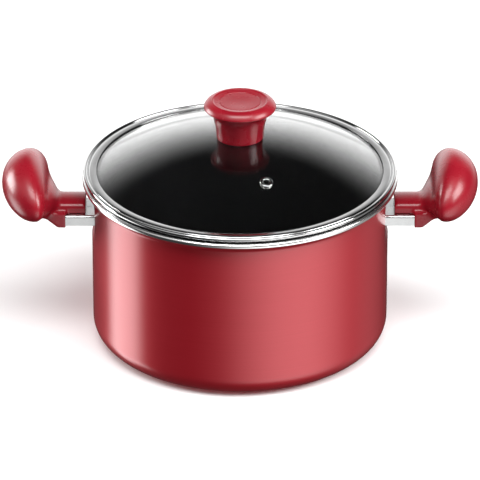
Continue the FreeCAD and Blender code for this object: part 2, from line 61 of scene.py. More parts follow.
# Places that the frame gives.
RIM_RADIUS = high("pot_body").y
RIM_HEIGHT = high("pot_body").z
BRACKET_TOP = high("handle_bracket_right").z
BRACKET_LOW = low("handle_bracket_right").z
BRACKET_START = low("handle_bracket_right").x
BRACKET_END = high("handle_bracket_right").x
BRACKET_HALF = high("handle_bracket_right").y
GRIP_START = low("handle_grip_right").x
GRIP_LOW = low("handle_grip_right").z
GLASS_EDGE = high("lid_glass").y
BAND_LOW = low("lid_band").z
BEAD_OUTER = high("lid_band").y
KNOB_LOW = low("knob").z
KNOB_TOP = high("knob").z
KNOB_RADIUS = high("knob").y
DISC_RADIUS = high("base_disc").x
DISC_TOP = high("base_disc").z


# ---------------------------------------------------------------- outlines and turned shapes
def arc_points(begin, end, radius, bulge, step_degrees):
    """Points along an arc after begin, up to end.

    bulge is 1 for an arc to the right of the chord, -1 for one to the left.
    """
    begin, end = np.array(begin, float), np.array(end, float)
    chord = end - begin
    half = np.linalg.norm(chord) / 2
    radius = max(radius, half * 1.0001)
    side = np.array([chord[1], -chord[0]]) / (2 * half) * bulge
    centre = (begin + end) / 2 - side * math.sqrt(radius ** 2 - half ** 2)
    first = math.atan2(*(begin - centre)[::-1])
    sweep = 2 * math.asin(half / radius) * bulge
    count = max(2, math.ceil(abs(math.degrees(sweep)) / step_degrees))
    angles = first + sweep * np.arange(1, count + 1) / count
    return [tuple(centre + radius * np.array([math.cos(a), math.sin(a)])) for a in angles]


def trace(corners, longest=1e9, step_degrees=7.5):
    """Points and finishes of a closed outline.

    A corner is (radius, height, finish) at the end of a straight, or (radius, height, finish, curve, bulge)
    at the end of an arc. The finish belongs to the stretch that leads to the corner.
    """
    points, finishes = [], []
    for index, corner in enumerate(corners):
        begin, end = corners[index - 1][:2], corner[:2]
        if len(corner) == 5:
            new = arc_points(begin, end, corner[3], corner[4], step_degrees)
        else:
            count = max(1, math.ceil(math.dist(begin, end) / longest))
            start, whole = np.array(begin), np.array(end) - begin
            new = [tuple(start + whole * k / count) for k in range(1, count + 1)]
        points += new
        finishes += [corner[2]] * len(new)
    return np.array(points), finishes


def new_piece(name, vertices, faces, body, materials, finishes=None, sharp=32):
    """A smooth-shaded mesh piece in metres that rides on a CAD body."""
    mesh = bpy.data.meshes.new(name)
    mesh.from_pydata([tuple(v) for v in np.asarray(vertices) * MM], [], [tuple(map(int, f)) for f in faces])
    for material in materials:
        mesh.materials.append(material)
    if finishes is not None:
        mesh.polygons.foreach_set("material_index", finishes)
    mesh.polygons.foreach_set("use_smooth", [True] * len(mesh.polygons))
    mesh.update()
    mesh.set_sharp_from_angle(angle=math.radians(sharp))
    piece = bpy.data.objects.new(name, mesh)
    bpy.context.scene.collection.objects.link(piece)
    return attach(piece, body)


def turned(name, corners, body, materials, around=288, longest=1e9, step_degrees=7.5, bend=None, sharp=32):
    """Turns a closed outline about the Z axis. bend may move the vertices, as an (n, 3) array."""
    points, point_finish = trace(corners, longest, step_degrees)
    count = len(points)
    angles = np.arange(around) * 2 * math.pi / around
    on_axis = points[:, 0] < 1e-6
    number = np.zeros((count, around), int)
    vertices = []
    for index, (radius, height) in enumerate(points):
        number[index] = len(vertices) + (0 if on_axis[index] else np.arange(around))
        if on_axis[index]:
            vertices.append((0, 0, height))
        else:
            vertices += [(radius * math.cos(a), radius * math.sin(a), height) for a in angles]
    faces, finishes = [], []
    for index in range(count):
        before = index - 1
        if on_axis[index] and on_axis[before]:
            continue
        for k in range(around):
            after = (k + 1) % around
            corner = [number[before, k], number[before, after], number[index, after], number[index, k]]
            faces.append(list(dict.fromkeys(corner)))
            finishes.append(point_finish[index])
    vertices = np.array(vertices)
    if bend is not None:
        vertices = bend(vertices)
    return new_piece(name, vertices, faces, body, materials, finishes, sharp)


# ---------------------------------------------------------------- materials
NOISE_LOW, NOISE_HIGH = 0.3, 0.7


def map_range(tree, source, from_low, from_high, to_low, to_high, interpolation="LINEAR"):
    """A node that maps a range of a value to another range."""
    node = tree.nodes.new("ShaderNodeMapRange")
    node.interpolation_type = interpolation
    for socket, setting in zip(("From Min", "From Max", "To Min", "To Max"),
                               (from_low, from_high, to_low, to_high)):
        node.inputs[socket].default_value = setting
    tree.links.new(source, node.inputs["Value"])
    return node.outputs["Result"]


class Finish:
    """A material under construction: its shader and short calls for the nodes that feed it."""

    def __init__(self, name, **values):
        self.material = bpy.data.materials.new(name)
        self.material.use_nodes = True
        self.tree = self.material.node_tree
        self.nodes = self.tree.nodes
        self.links = self.tree.links
        self.shader = self.nodes["Principled BSDF"]
        self.place = self.nodes.new("ShaderNodeTexCoord").outputs["Object"]
        for socket, setting in values.items():
            self.shader.inputs[socket.replace("_", " ")].default_value = setting

    def scaled(self, x, y, z):
        """Object coordinates times a scale along each axis."""
        node = self.nodes.new("ShaderNodeMapping")
        node.inputs["Scale"].default_value = (x, y, z)
        self.links.new(self.place, node.inputs["Vector"])
        return node.outputs["Vector"]

    def noise(self, vector, scale, detail=3.0, rough=0.55):
        node = self.nodes.new("ShaderNodeTexNoise")
        node.inputs["Scale"].default_value = scale
        node.inputs["Detail"].default_value = detail
        node.inputs["Roughness"].default_value = rough
        self.links.new(vector, node.inputs["Vector"])
        return node.outputs["Fac"]

    def cells(self, vector, scale):
        node = self.nodes.new("ShaderNodeTexVoronoi")
        node.inputs["Scale"].default_value = scale
        self.links.new(vector, node.inputs["Vector"])
        return node.outputs["Distance"]

    def radius(self):
        """Distance from the Z axis."""
        split = self.nodes.new("ShaderNodeVectorMath")
        split.operation = "MULTIPLY"
        split.inputs[1].default_value = (1, 1, 0)
        self.links.new(self.place, split.inputs[0])
        length = self.nodes.new("ShaderNodeVectorMath")
        length.operation = "LENGTH"
        self.links.new(split.outputs[0], length.inputs[0])
        join = self.nodes.new("ShaderNodeCombineXYZ")
        self.links.new(length.outputs["Value"], join.inputs["X"])
        return join.outputs["Vector"]

    def spread(self, factor, from_low, from_high, to_low, to_high):
        """Maps a range of a value to another range."""
        return map_range(self.tree, factor, from_low, from_high, to_low, to_high)

    def between(self, factor, to_low, to_high):
        """Maps the middle of a noise, where nearly all of it lies, to a range."""
        return self.spread(factor, NOISE_LOW, NOISE_HIGH, to_low, to_high)

    def blend(self, factor, first, second):
        """A colour between two colours."""
        node = self.nodes.new("ShaderNodeMix")
        node.data_type = "RGBA"
        node.inputs["A"].default_value = (*first, 1)
        node.inputs["B"].default_value = (*second, 1)
        self.links.new(factor, node.inputs["Factor"])
        return node.outputs["Result"]

    def feed(self, socket, output):
        self.links.new(output, self.shader.inputs[socket])

    def bump(self, height, depth, strength=1.0):
        """Adds relief of a depth in metres on top of what is already there."""
        node = self.nodes.new("ShaderNodeBump")
        node.inputs["Distance"].default_value = depth
        node.inputs["Strength"].default_value = strength
        self.links.new(height, node.inputs["Height"])
        if self.shader.inputs["Normal"].is_linked:
            self.links.new(self.shader.inputs["Normal"].links[0].from_socket, node.inputs["Normal"])
        self.feed("Normal", node.outputs["Normal"])
        return self

    def turned_grain(self):
        """Stretches reflections across lines that run round the Z axis."""
        node = self.nodes.new("ShaderNodeTangent")
        node.direction_type = "RADIAL"
        node.axis = "Z"
        self.feed("Tangent", node.outputs["Tangent"])
        self.shader.inputs["Anisotropic Rotation"].default_value = 0.25
        return self


def lacquer():
    """Red metallic lacquer over a spun aluminium wall, under a clear coat."""
    finish = Finish("red_lacquer", Metallic=0.4, Roughness=0.4, Anisotropic=0.5, Specular_IOR_Level=0.2,
                    Coat_Weight=1.0, Coat_Roughness=0.16)
    lines = finish.noise(finish.scaled(12, 12, 2600), 1.0, 3.0, 0.6)
    clouds = finish.noise(finish.scaled(1, 1, 1), 9.0, 2.0)
    finish.feed("Base Color", finish.blend(
        finish.between(lines, 0.0, 1.0), (0.355, 0.010, 0.018), (0.385, 0.012, 0.022)))
    finish.feed("Roughness", finish.between(clouds, 0.38, 0.42))
    finish.bump(lines, 0.00002, 0.5)
    finish.turned_grain()
    return finish.material


def non_stick():
    """Dark speckled coating inside the pot."""
    finish = Finish("non_stick", Metallic=0.0, Roughness=0.42, Specular_IOR_Level=0.45)
    specks = finish.cells(finish.place, 1900.0)
    rings = finish.noise(finish.radius(), 900.0, 2.0)
    finish.feed("Base Color", finish.blend(
        finish.spread(specks, 0.05, 0.22, 1.0, 0.0), (0.010, 0.010, 0.011), (0.045, 0.045, 0.047)))
    finish.feed("Roughness", finish.between(rings, 0.36, 0.48))
    finish.bump(rings, 0.00003, 0.4).bump(specks, 0.00002, 0.3)
    return finish.material


def bare_metal(name, colour, dull, rough, lines=1600.0, grain=True):
    """Turned or spun metal with fine concentric lines."""
    finish = Finish(name, Metallic=1.0, Anisotropic=0.4 if grain else 0.0)
    rings = finish.noise(finish.radius(), lines, 3.0, 0.7)
    smears = finish.noise(finish.scaled(1, 1, 1), 35.0, 3.0)
    finish.feed("Base Color", finish.blend(finish.between(smears, 0.0, 1.0), dull, colour))
    finish.feed("Roughness", finish.between(rings, rough * 0.8, rough * 1.2))
    finish.bump(rings, 0.00001, 0.35 if grain else 0.05)
    if grain:
        finish.turned_grain()
    return finish.material


def sheet_steel(name, colour, dull, rough, scales=(9, 9, 1500)):
    """Rolled sheet steel with fine lines, which run along the axes whose noise scale is small."""
    finish = Finish(name, Metallic=1.0, Anisotropic=0.3)
    lines = finish.noise(finish.scaled(*scales), 1.0, 4.0, 0.7)
    smears = finish.noise(finish.scaled(1, 1, 1), 60.0, 3.0)
    finish.feed("Base Color", finish.blend(finish.between(smears, 0.0, 1.0), dull, colour))
    finish.feed("Roughness", finish.between(lines, rough * 0.75, rough * 1.25))
    finish.bump(lines, 0.000015, 0.35)
    return finish.material


def moulded_red():
    """Glossy moulded phenolic with a barely uneven skin."""
    finish = Finish("moulded_red", Roughness=0.27, Specular_IOR_Level=0.5)
    clouds = finish.noise(finish.scaled(1, 1, 1), 55.0, 3.0)
    grain = finish.noise(finish.scaled(1, 1, 1), 1800.0, 2.0)
    finish.feed("Base Color", finish.blend(
        finish.between(clouds, 0.0, 1.0), (0.225, 0.005, 0.013), (0.260, 0.007, 0.016)))
    finish.feed("Roughness", finish.between(clouds, 0.24, 0.30))
    finish.bump(clouds, 0.00008, 0.25).bump(grain, 0.000006, 0.5)
    return finish.material


def rubber(name, colour):
    """Soft dark silicone."""
    finish = Finish(name, Roughness=0.7, Specular_IOR_Level=0.3)
    grain = finish.noise(finish.scaled(1, 1, 1), 2200.0, 3.0)
    paler = tuple(c * 1.6 + 0.01 for c in colour)
    finish.feed("Base Color", finish.blend(finish.spread(grain, 0.35, 0.7, 0.0, 1.0), colour, paler))
    finish.feed("Roughness", finish.between(grain, 0.6, 0.8))
    finish.bump(grain, 0.00003, 0.5)
    return finish.material


def clear_glass():
    """Toughened glass, very slightly uneven."""
    finish = Finish("toughened_glass", Roughness=0.0, Transmission_Weight=1.0, IOR=1.5,
                    Specular_IOR_Level=0.5)
    waves = finish.noise(finish.scaled(1, 1, 1), 18.0, 2.0)
    finish.feed("Base Color", finish.blend(
        finish.between(waves, 0.0, 1.0), (0.945, 0.960, 0.955), (0.970, 0.980, 0.975)))
    finish.bump(waves, 0.00002, 0.2)
    return finish.material


LACQUER = lacquer()
NON_STICK = non_stick()
RIM_METAL = bare_metal("turned_rim", (0.80, 0.79, 0.78), (0.70, 0.70, 0.70), 0.22)
BASE_METAL = bare_metal("spun_base", (0.62, 0.62, 0.63), (0.50, 0.50, 0.51), 0.34, 1300.0)
BAND_STEEL = bare_metal("rolled_band", (0.58, 0.58, 0.58), (0.50, 0.50, 0.50), 0.08, 500.0, grain=False)
VENT_STEEL = bare_metal("vent_steel", (0.60, 0.60, 0.60), (0.52, 0.52, 0.52), 0.16, 2600.0, grain=False)
BRACKET_STEEL = sheet_steel("bracket_sheet", (0.74, 0.75, 0.75), (0.66, 0.67, 0.67), 0.22)
FASTENER_STEEL = sheet_steel("plated_steel", (0.66, 0.66, 0.67), (0.55, 0.55, 0.56), 0.28, (1300, 1300, 9))
RIVET_METAL = bare_metal("rivet_metal", (0.74, 0.74, 0.75), (0.62, 0.62, 0.63), 0.3, 900.0, grain=False)
BRASS = bare_metal("turned_brass", (0.76, 0.56, 0.25), (0.62, 0.44, 0.18), 0.27, 1500.0)
RED = moulded_red()
LINER = rubber("band_liner_silicone", (0.020, 0.020, 0.020))
GASKET = rubber("knob_silicone", (0.030, 0.030, 0.031))
GLASS = clear_glass()

for node, material in (("base_disc", BASE_METAL), ("band_liner", LINER), ("knob_insert", BRASS),
                       ("knob_seat", GASKET), ("knob_gasket", GASKET), ("knob_washer", FASTENER_STEEL),
                       ("knob_screw", FASTENER_STEEL)):
    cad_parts[node].material_slots[0].material = material
for side in SIDES:
    for kind, material in (("rivets", RIVET_METAL), ("screw", FASTENER_STEEL), ("washer", FASTENER_STEEL),
                           ("insert", BRASS)):
        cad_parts["handle_%s_%s" % (kind, side)].material_slots[0].material = material


# ---------------------------------------------------------------- pot shell
WALL = 3.0
RIM_OVERHANG = 7.4
WALL_RADIUS = RIM_RADIUS - RIM_OVERHANG
FLARE_START = RIM_HEIGHT - 11.8
FLARE_OUTER, FLARE_INNER = 8.0, 11.0
LIP = 3.8
LIP_EDGE = 0.8
RIM_EDGE = 2.4
BASE_CORNER = 19.0
BASE_THICK = 5.0
INNER_CORNER = 12.0
RECESS_GAP = 0.1
RECESS_EASE = 0.25
PAINT_START, PAINT_START_HEIGHT = 3.4, 0.31
PAD_DISTANCE = BRACKET_START
PAD_MIDDLE = 111.0
PAD_HALF_TALL = 13.2
PAD_SOFT = 5.0
PAD_BLUR = 0.35
PAINTED, BARE, COATED = 0, 1, 2


def smooth_step(value):
    """Eases from 0 to 1, as the value does."""
    value = np.clip(value, 0, 1)
    return value * value * (3 - 2 * value)


def press_flats(vertices):
    """Presses a flat in both sides of the wall behind the brackets, and eases it out above and below."""
    moved = vertices.copy()
    reach = np.hypot(vertices[:, 0], vertices[:, 1])
    wall_part = (reach > WALL_RADIUS - WALL - 0.5) & (reach < WALL_RADIUS + 2)
    depth_here = np.where(reach > WALL_RADIUS - WALL / 2, 0.0, WALL)
    flat = PAD_DISTANCE - depth_here
    over = np.maximum(np.abs(vertices[:, 0]) - flat, 0)
    ease = 1 - smooth_step((np.abs(vertices[:, 2] - PAD_MIDDLE) - PAD_HALF_TALL) / PAD_SOFT)
    round_off = over ** 2 / (over + PAD_BLUR)
    moved[:, 0] -= np.sign(vertices[:, 0]) * np.where(wall_part, round_off * ease, 0)
    return moved


def build_pot():
    """The shell: lacquer outside, bare metal at the rim and underneath, non-stick coating inside."""
    lip_low = RIM_HEIGHT - LIP
    inner = WALL_RADIUS - WALL
    recess = DISC_RADIUS + RECESS_GAP
    foot = WALL_RADIUS - BASE_CORNER
    corners = [
        (0, DISC_TOP, PAINTED),
        (recess, DISC_TOP, BARE),
        (recess, RECESS_EASE, BARE),
        (recess + RECESS_EASE, 0, BARE, RECESS_EASE, -1),
        (foot, 0, BARE),
        (foot + PAINT_START, PAINT_START_HEIGHT, BARE, BASE_CORNER, 1),
        (WALL_RADIUS, BASE_CORNER, PAINTED, BASE_CORNER - 0.3, 1),
        (WALL_RADIUS, FLARE_START, PAINTED),
        (RIM_RADIUS - LIP_EDGE, lip_low, PAINTED, FLARE_OUTER, -1),
        (RIM_RADIUS, lip_low + LIP_EDGE, BARE, LIP_EDGE, 1),
        (RIM_RADIUS, RIM_HEIGHT - RIM_EDGE, BARE),
        (RIM_RADIUS - RIM_EDGE, RIM_HEIGHT, BARE, RIM_EDGE, 1),
        (inner, RIM_HEIGHT - FLARE_INNER, COATED, FLARE_INNER, 1),
        (inner, BASE_THICK + INNER_CORNER, COATED),
        (inner - INNER_CORNER, BASE_THICK, COATED, INNER_CORNER, -1),
        (0, BASE_THICK, COATED),
    ]
    pot = turned("pot_shell", corners, "pot", [LACQUER, RIM_METAL, NON_STICK], around=360, longest=2.5,
                 step_degrees=6, bend=press_flats)
    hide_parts("pot_body")


# ---------------------------------------------------------------- grips
class Shape:
    """Signed distances in the right handle's frame: X away from the pot, Z up, in millimetres."""

    @staticmethod
    def ellipsoid(p, centre, radii):
        q = p - np.array(centre)
        k = np.linalg.norm(q / radii, axis=-1)
        steep = np.linalg.norm(q / np.square(radii), axis=-1)
        return k * (k - 1) / np.maximum(steep, 1e-9)

    @staticmethod
    def block(p, lowest, highest, rounding):
        centre = (np.array(lowest) + highest) / 2
        half = (np.array(highest) - lowest) / 2 - rounding
        q = np.abs(p - centre) - half
        outside = np.linalg.norm(np.maximum(q, 0), axis=-1)
        return outside + np.minimum(q.max(-1), 0) - rounding

    @staticmethod
    def upright(p, centre, radius, lowest, highest):
        """A cylinder that stands along Z."""
        across = np.hypot(p[..., 0] - centre[0], p[..., 1] - centre[1]) - radius
        along = np.maximum(lowest - p[..., 2], p[..., 2] - highest)
        return np.maximum(across, along)

    @staticmethod
    def half_space(p, point, normal):
        """Negative behind the plane."""
        normal = np.array(normal, float)
        return (p - np.array(point)) @ (normal / np.linalg.norm(normal))

    @staticmethod
    def join(a, b, soft):
        mix = np.clip(0.5 + 0.5 * (b - a) / soft, 0, 1)
        return b + (a - b) * mix - soft * mix * (1 - mix)

    @staticmethod
    def cut(a, b, soft):
        """a without b."""
        return -Shape.join(-a, b, soft)

    @staticmethod
    def overlap(a, b, soft):
        return -Shape.join(-a, -b, soft)


SHEET = 1.5
WEB_LOW = BRACKET_TOP - SHEET
FLANGE_END = 149.5
TONGUE_HALF = 13.0
SCREW_DISTANCE = 153.0
EAR_DISTANCE = 174.9
EAR_HEIGHT = 138.6
EAR_HALF = 48.0
EAR_LEAN = 8.0
EAR_INWARD, EAR_OUTWARD = 15.6, 22.1
EAR_UP, EAR_DOWN = 24.6, 23.0
EAR_SWEEP, EAR_DROOP = 7.5, 6.5
SHANK_HALF = 14.0
SHANK_RISE = 10.8
SLEEVE_START = 144.0
SLEEVE_HALF = 19.6
FIT_GAP = 0.15
# Rounded shapes that are joined to the grip or cut from it: their centres and half sizes.
CROWN_RADII = (400, 24.0, 19.8)
CROWN_INWARD, CROWN_DOWN = 20, 9
WEB_CENTRE, WEB_RADII = (163.5, 0, 126.0), (10.0, 30.0, 10.0)
SCOOP_CENTRE, SCOOP_RADII = (175.3, 0, 112.1), (9.6, 27.0, 19.5)
RAMP_START, RAMP_NORMAL = 151.0, (0.65, 0, -0.76)
# How softly one shape runs into the next, in millimetres.
CROWN_BLEND, EAR_BLEND, WEB_BLEND, SLEEVE_BLEND, SCOOP_BLEND = 3.0, 13.0, 8.0, 3.0, 3.0
RAMP_BLEND, FACE_BLEND, SEAT_BLEND = 1.5, 0.7, 0.3
SCREW_GAP, INSERT_GAP = 0.4, 0.1
# The box that holds the right grip, and the spacing of the grid that finds its surface.
GRIP_BOX = (125.0, -52.0, 102.0), (200.0, 52.0, 167.0)
GRIP_PITCH = 1.0


def ear_distance(p):
    """The ear: an egg-shaped section that leans out, and ends that curve back towards the pot and down."""
    end = (p[..., 1] / EAR_HALF) ** 2
    out = p[..., 0] - EAR_DISTANCE + EAR_SWEEP * end
    up = p[..., 2] - EAR_HEIGHT + EAR_DROOP * end
    c, s = math.cos(math.radians(EAR_LEAN)), math.sin(math.radians(EAR_LEAN))
    out, up = out * c - up * s, out * s + up * c
    deep = np.where(out > 0, EAR_OUTWARD, EAR_INWARD)
    tall = np.where(up > 0, EAR_UP, EAR_DOWN)
    return (np.sqrt((out / deep) ** 2 + (up / tall) ** 2 + end) - 1) * np.minimum(deep, tall)


def grip_distance(p):
    """Signed distance of the moulded grip, roughly."""
    shank_low = BRACKET_TOP + FIT_GAP
    ear = ear_distance(p)
    shank = Shape.block(p, (GRIP_START, -SHANK_HALF, shank_low),
                        (EAR_DISTANCE - 4, SHANK_HALF, shank_low + SHANK_RISE), 0.8)
    crown = Shape.ellipsoid(p, (EAR_DISTANCE - CROWN_INWARD, 0, shank_low - CROWN_DOWN), CROWN_RADII)
    shank = Shape.overlap(shank, crown, CROWN_BLEND)
    web = Shape.ellipsoid(p, WEB_CENTRE, WEB_RADII)
    body = Shape.join(ear, shank, EAR_BLEND)
    body = Shape.join(body, web, WEB_BLEND)
    sleeve = Shape.block(p, (SLEEVE_START, -SLEEVE_HALF, GRIP_LOW),
                         (EAR_DISTANCE - 9, SLEEVE_HALF, BRACKET_TOP + 3.0), 1.2)
    ramp = Shape.half_space(p, (RAMP_START, 0, GRIP_LOW), RAMP_NORMAL)
    sleeve = Shape.overlap(sleeve, ramp, RAMP_BLEND)
    body = Shape.join(body, sleeve, SLEEVE_BLEND)
    scoop = Shape.ellipsoid(p, SCOOP_CENTRE, SCOOP_RADII)
    body = Shape.cut(body, scoop, SCOOP_BLEND)
    face = Shape.half_space(p, (GRIP_START, 0, 0), (-1, 0, 0))
    body = Shape.overlap(body, face, FACE_BLEND)
    under = np.where(p[..., 0] < SLEEVE_START, shank_low - p[..., 2], -1e3)
    body = np.maximum(body, under)
    outer = Shape.block(p, (SLEEVE_START - 20, -BRACKET_HALF - FIT_GAP, BRACKET_LOW - FIT_GAP),
                        (FLANGE_END + FIT_GAP, BRACKET_HALF + FIT_GAP, BRACKET_TOP + FIT_GAP), 0.3)
    core_half = BRACKET_HALF - SHEET - FIT_GAP
    core = Shape.block(p, (SLEEVE_START - 40, -core_half, BRACKET_LOW - 40),
                       (FLANGE_END + 40, core_half, WEB_LOW - FIT_GAP), 0.3)
    tongue_half = TONGUE_HALF + FIT_GAP
    tongue = Shape.block(p, (SLEEVE_START - 20, -tongue_half, WEB_LOW - FIT_GAP),
                         (BRACKET_END + FIT_GAP, tongue_half, BRACKET_TOP + FIT_GAP), 0.3)
    seat = np.minimum(np.maximum(outer, -core), tongue)
    screw = (SCREW_DISTANCE, 0)
    head, insert = high("handle_screw_right"), high("handle_insert_right")
    seat = np.minimum(seat, Shape.upright(p, screw, head.x - SCREW_DISTANCE + SCREW_GAP,
                                          GRIP_LOW - 10, WEB_LOW))
    seat = np.minimum(seat, Shape.upright(p, screw, insert.x - SCREW_DISTANCE + INSERT_GAP,
                                          WEB_LOW, insert.z + INSERT_GAP))
    return Shape.cut(body, seat, SEAT_BLEND)


# How a surface net's vertices settle onto the surface: rounds, slope step, longest shift, share of the way.
SETTLE_ROUNDS, SLOPE_STEP, SETTLE_LIMIT, SETTLE_SHARE = 4, 0.05, 0.3, 0.7


def surface_net(distance, lowest, highest, pitch):
    """Vertices and quads of the zero surface of a distance function, settled onto it."""
    axes = [np.arange(a, b + pitch, pitch) for a, b in zip(lowest, highest)]
    grid = np.stack(np.meshgrid(*axes, indexing="ij"), -1)
    field = distance(grid)
    inside = field < 0
    shape = np.array(field.shape) - 1
    total = np.zeros((*shape, 3))
    crossings = np.zeros(shape)
    corners = [(i, j, k) for i in (0, 1) for j in (0, 1) for k in (0, 1)]

    def block(array, corner):
        return array[tuple(slice(c, c + n) for c, n in zip(corner, shape))]

    for first in corners:
        for axis in range(3):
            if first[axis]:
                continue
            second = tuple(c + (index == axis) for index, c in enumerate(first))
            a, b = block(field, first), block(field, second)
            crosses = (a < 0) != (b < 0)
            share = np.where(crosses, a / np.where(crosses, a - b, 1), 0)
            point = np.array(first, float) + share[..., None] * np.eye(3)[axis]
            total += np.where(crosses[..., None], point, 0)
            crossings += crosses
    used = crossings > 0
    number = np.full(shape, -1)
    number[used] = np.arange(used.sum())
    places = np.argwhere(used) + total[used] / crossings[used][:, None]
    vertices = np.array(lowest) + places * pitch
    faces = []
    for axis in range(3):
        side_a, side_b = (axis + 1) % 3, (axis + 2) % 3
        here = np.take(inside, range(0, shape[axis]), axis)
        there = np.take(inside, range(1, shape[axis] + 1), axis)
        for edge in np.argwhere(here != there):
            if edge[side_a] == 0 or edge[side_b] == 0 or (edge >= shape).any():
                continue
            ring = []
            for da, db in ((1, 1), (0, 1), (0, 0), (1, 0)):
                cell = edge.copy()
                cell[side_a] -= da
                cell[side_b] -= db
                ring.append(number[tuple(cell)])
            faces.append(ring if here[tuple(edge)] else ring[::-1])
    for _ in range(SETTLE_ROUNDS):
        slope = np.stack([(distance(vertices + step) - distance(vertices - step)) / (2 * SLOPE_STEP)
                          for step in np.eye(3) * SLOPE_STEP], -1)
        slope /= np.maximum(np.linalg.norm(slope, axis=-1, keepdims=True), 1e-6)
        shift = np.clip(distance(vertices), -SETTLE_LIMIT, SETTLE_LIMIT)
        vertices -= slope * shift[:, None] * SETTLE_SHARE
    return vertices, faces


def build_grips():
    """Both grips from one mesh, turned half round for the left side."""
    vertices, faces = surface_net(grip_distance, *GRIP_BOX, GRIP_PITCH)
    for side, sign in SIDES.items():
        placed = vertices * (sign, sign, 1)
        grip = new_piece("grip_" + side, placed, faces, "pot", [RED], sharp=38)
        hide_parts("handle_grip_" + side)


# ---------------------------------------------------------------- brackets
SLOT_START = BRACKET_START + 3.6
SLOT_END = 147.0
SLOT_HALF = 1.1
RIVET_HEIGHT = 110.2
RIVET_OFFSET = 9.0
RIVET_HOLE = 2.5
SCREW_HOLE = 2.4
PLATE_LAP = 0.5
PLATE_RAISED = 0.4


def prism_faces(count):
    """Faces of a prism whose first end has the vertices up to count, and whose second end has the next."""
    sides = [[k, (k + 1) % count, count + (k + 1) % count, count + k] for k in range(count)]
    return [list(range(count))[::-1], list(range(count, 2 * count))] + sides


def prism(points, start, end):
    """Vertices and faces of an outline in Y and Z pushed along X."""
    return [(x, y, z) for x in (start, end) for y, z in points], prism_faces(len(points))


def slab(half_width, lowest, highest, start, end):
    """A rectangular boolean tool, centred on Y = 0."""
    outline = [(-half_width, lowest), (half_width, lowest), (half_width, highest), (-half_width, highest)]
    return plain_mesh(*prism(outline, start, end))


def plain_mesh(vertices, faces):
    """An object for a boolean, in metres, that isn't a piece of the pot."""
    mesh = bpy.data.meshes.new("tool")
    mesh.from_pydata([tuple(np.array(v) * MM) for v in vertices], [], faces)
    tool = bpy.data.objects.new("tool", mesh)
    bpy.context.scene.collection.objects.link(tool)
    return tool


def rod(centre, direction, radius, length, sides=40):
    """A round boolean tool."""
    across = Vector(direction).normalized().to_track_quat("Z", "Y").to_matrix()
    rings = []
    for height in (-length / 2, length / 2):
        rings += [Vector(centre) + across @ Vector((radius * math.cos(a), radius * math.sin(a), height))
                  for a in (2 * math.pi * k / sides for k in range(sides))]
    return plain_mesh(rings, prism_faces(sides))


def combine(piece, *steps):
    """Applies booleans, each (operation, tool), and takes the tools away."""
    for operation, tool in steps:
        step = piece.modifiers.new(operation, "BOOLEAN")
        step.operation = operation
        step.object = tool
        step.solver = "EXACT"
    bpy.context.view_layer.update()
    result = bpy.data.meshes.new_from_object(piece.evaluated_get(bpy.context.evaluated_depsgraph_get()))
    piece.modifiers.clear()
    piece.data = result
    for _, tool in steps:
        bpy.data.objects.remove(tool)


def build_bracket(side, sign):
    """A channel of bent sheet, open below, with an end plate at the wall and a tongue in the grip."""
    bend_outer, bend_inner, edge = 2.0, 0.6, 0.35
    inner, top, web = BRACKET_HALF - SHEET, BRACKET_TOP, WEB_LOW
    half = [
        (inner, web - bend_inner, 0, bend_inner, -1),
        (inner, BRACKET_LOW + edge, 0),
        (inner + edge, BRACKET_LOW, 0, edge, 1),
        (BRACKET_HALF - edge, BRACKET_LOW, 0),
        (BRACKET_HALF, BRACKET_LOW + edge, 0, edge, 1),
        (BRACKET_HALF, top - bend_outer, 0),
        (BRACKET_HALF - bend_outer, top, 0, bend_outer, 1),
    ]
    corners = [(inner - bend_inner, web, 0)] + half
    right, _ = trace(corners, step_degrees=12)
    right = right[1:] if np.allclose(right[0], right[-1]) else right
    outline = np.vstack([right, right[::-1] * (-1, 1)])
    vertices, faces = prism(outline, BRACKET_START, FLANGE_END)
    bracket = new_piece("bracket_" + side, np.array(vertices), faces, "pot", [BRACKET_STEEL])
    plate = slab(inner + PLATE_LAP, BRACKET_LOW + PLATE_RAISED, web + PLATE_LAP,
                 BRACKET_START, BRACKET_START + SHEET)
    tongue = slab(TONGUE_HALF, web, top, FLANGE_END - SHEET, BRACKET_END)
    slot = slab(SLOT_HALF, web - 1, top + 1, SLOT_START, SLOT_END)
    middle = web + SHEET / 2
    steps = [("UNION", plate), ("UNION", tongue), ("DIFFERENCE", slot),
             ("DIFFERENCE", rod((SCREW_DISTANCE, 0, middle), (0, 0, 1), SCREW_HOLE, 6))]
    steps += [("DIFFERENCE", rod((BRACKET_START, place, RIVET_HEIGHT), (1, 0, 0), RIVET_HOLE, 8))
              for place in (-RIVET_OFFSET, RIVET_OFFSET)]
    combine(bracket, *steps)
    if sign == LEFT:
        bracket.data.transform(Matrix.Rotation(math.pi, 4, "Z"))
    bracket.data.set_sharp_from_angle(angle=math.radians(32))
    bracket.modifiers.new("flat_faces", "WEIGHTED_NORMAL").keep_sharp = True
    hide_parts("handle_bracket_" + side)


# ---------------------------------------------------------------- lid
DOME_RADIUS = 240.0
DOME_TOP = 181.0
DOME_CENTRE = DOME_TOP - DOME_RADIUS
GLASS_THICK = 4.0
GLASS_HOLE = 4.0
BRIM_TOP = 149.5
BRIM_LOW = low("lid_glass").z
VENT_REACH = 69.4
VENT_TURN = -71.9
VENT_TUBE = 3.7


def sphere_height(radius, reach):
    """Height of a sphere round the dome's centre, at a distance from the Z axis."""
    return DOME_CENTRE + math.sqrt(radius ** 2 - reach ** 2)


def sphere_reach(radius, height):
    """Distance from the Z axis of that sphere, at a height."""
    return math.sqrt(radius ** 2 - (height - DOME_CENTRE) ** 2)


